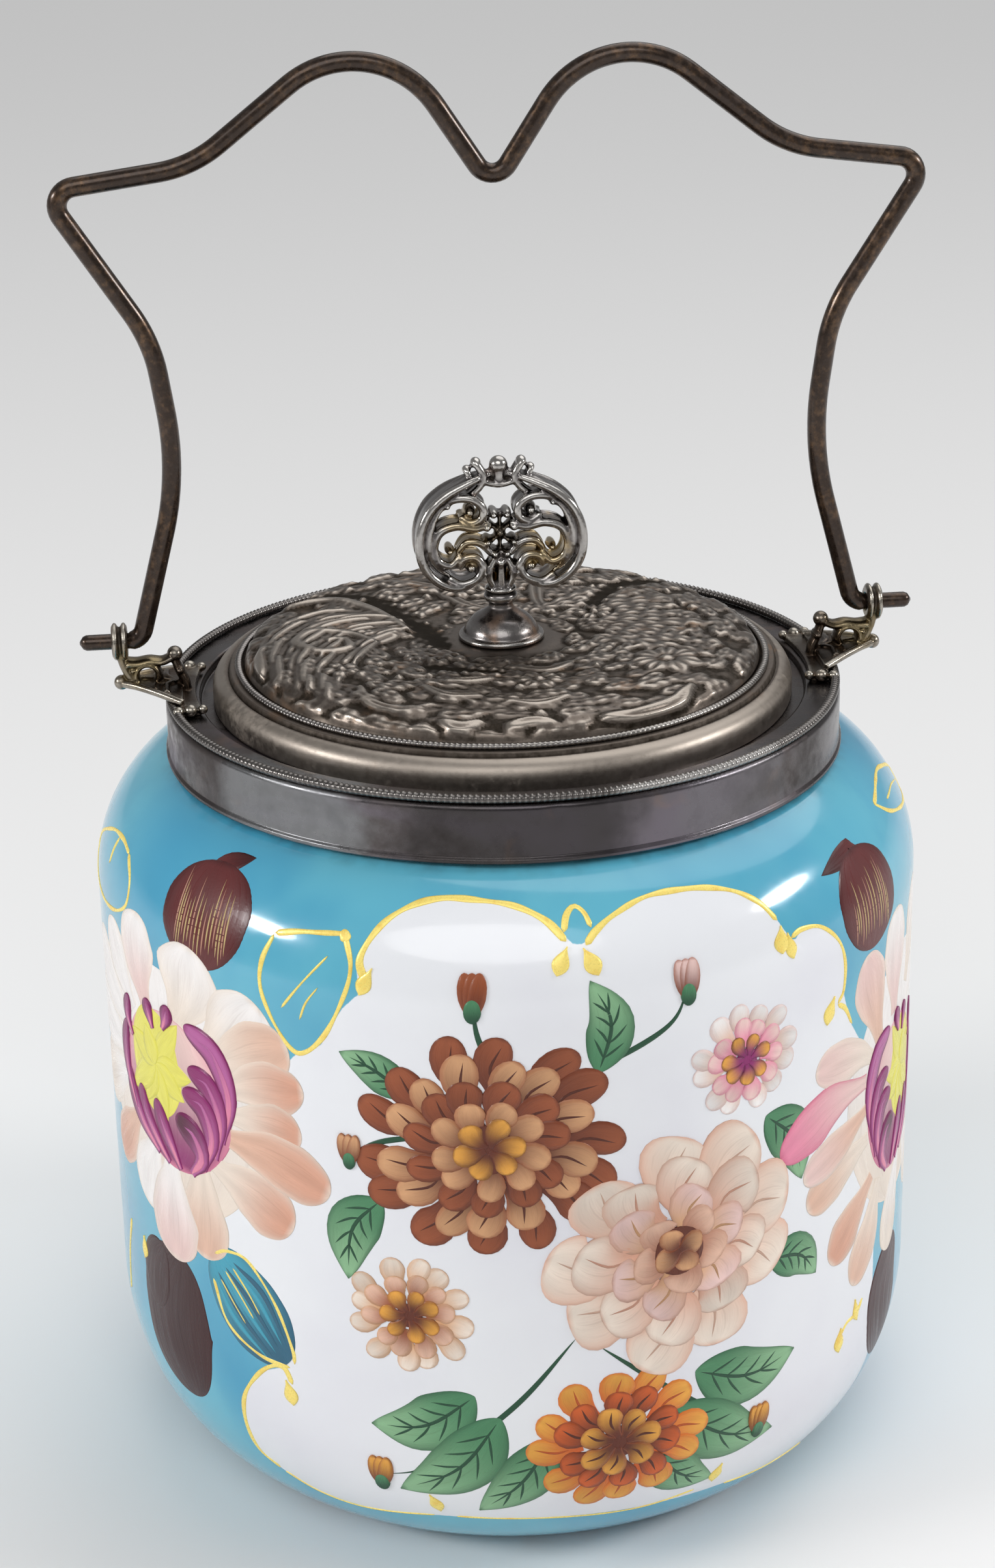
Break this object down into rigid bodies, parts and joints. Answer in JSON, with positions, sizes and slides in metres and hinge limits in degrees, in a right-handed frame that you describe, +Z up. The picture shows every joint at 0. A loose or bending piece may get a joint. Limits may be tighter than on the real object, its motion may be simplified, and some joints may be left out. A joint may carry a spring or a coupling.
{
  "type": "biscuit jar",
  "caption": "Round opal glass biscuit jar with a cemented metal collar, wire bail handle on two cast ears, and a lift-off metal lid with an openwork knob.",
  "frame": {"origin": "centre of the circle that the jar stands on", "axes": "+Z up along the jar's axis, +X towards the right ear along the bail's hinge axis, -Y towards the jar's front"},
  "size_m": [0.14, 0.14, 0.2358],
  "materials": {
    "opal_glass": "glossy opal glass painted turquoise with a white reserve, flowers and gilding",
    "plaster": "matte plaster",
    "collar_metal": "tarnished silver plate, satin",
    "cast_metal": "tarnished cast silver plate",
    "bail_wire": "dark bronzed wire, worn on top",
    "lid_metal": "stamped silver plate with dark recesses",
    "knob_metal": "polished cast silver plate with dark recesses",
    "fastener_brass": "dull brass"
  },
  "bodies": {
    "jar": {"glass_jar": "opal_glass", "cement_ring": "plaster", "collar_band": "collar_metal", "collar_milled_wire": "collar_metal", "left_ear": "cast_metal", "right_ear": "cast_metal"},
    "bail": {"bail_handle": "bail_wire"},
    "lid": {"lid_dome": "lid_metal", "lid_milled_wire": "lid_metal", "lid_flange": "lid_metal", "knob_pedestal": "knob_metal", "knob_finial": "knob_metal", "knob_stud": "fastener_brass", "knob_washer": "fastener_brass", "knob_nut": "fastener_brass"}
  },
  "joints": [
    {"name": "bail_hinge", "type": "hinge", "parent": "jar", "child": "bail", "pos_m": [0, 0, 0.1433], "axis": [1, 0, 0], "range_deg": [-108, 108]},
    {"name": "lid_lift", "type": "slide", "parent": "jar", "child": "lid", "axis": [0, 0, 1], "range_m": [0, 0.04]}
  ]
}
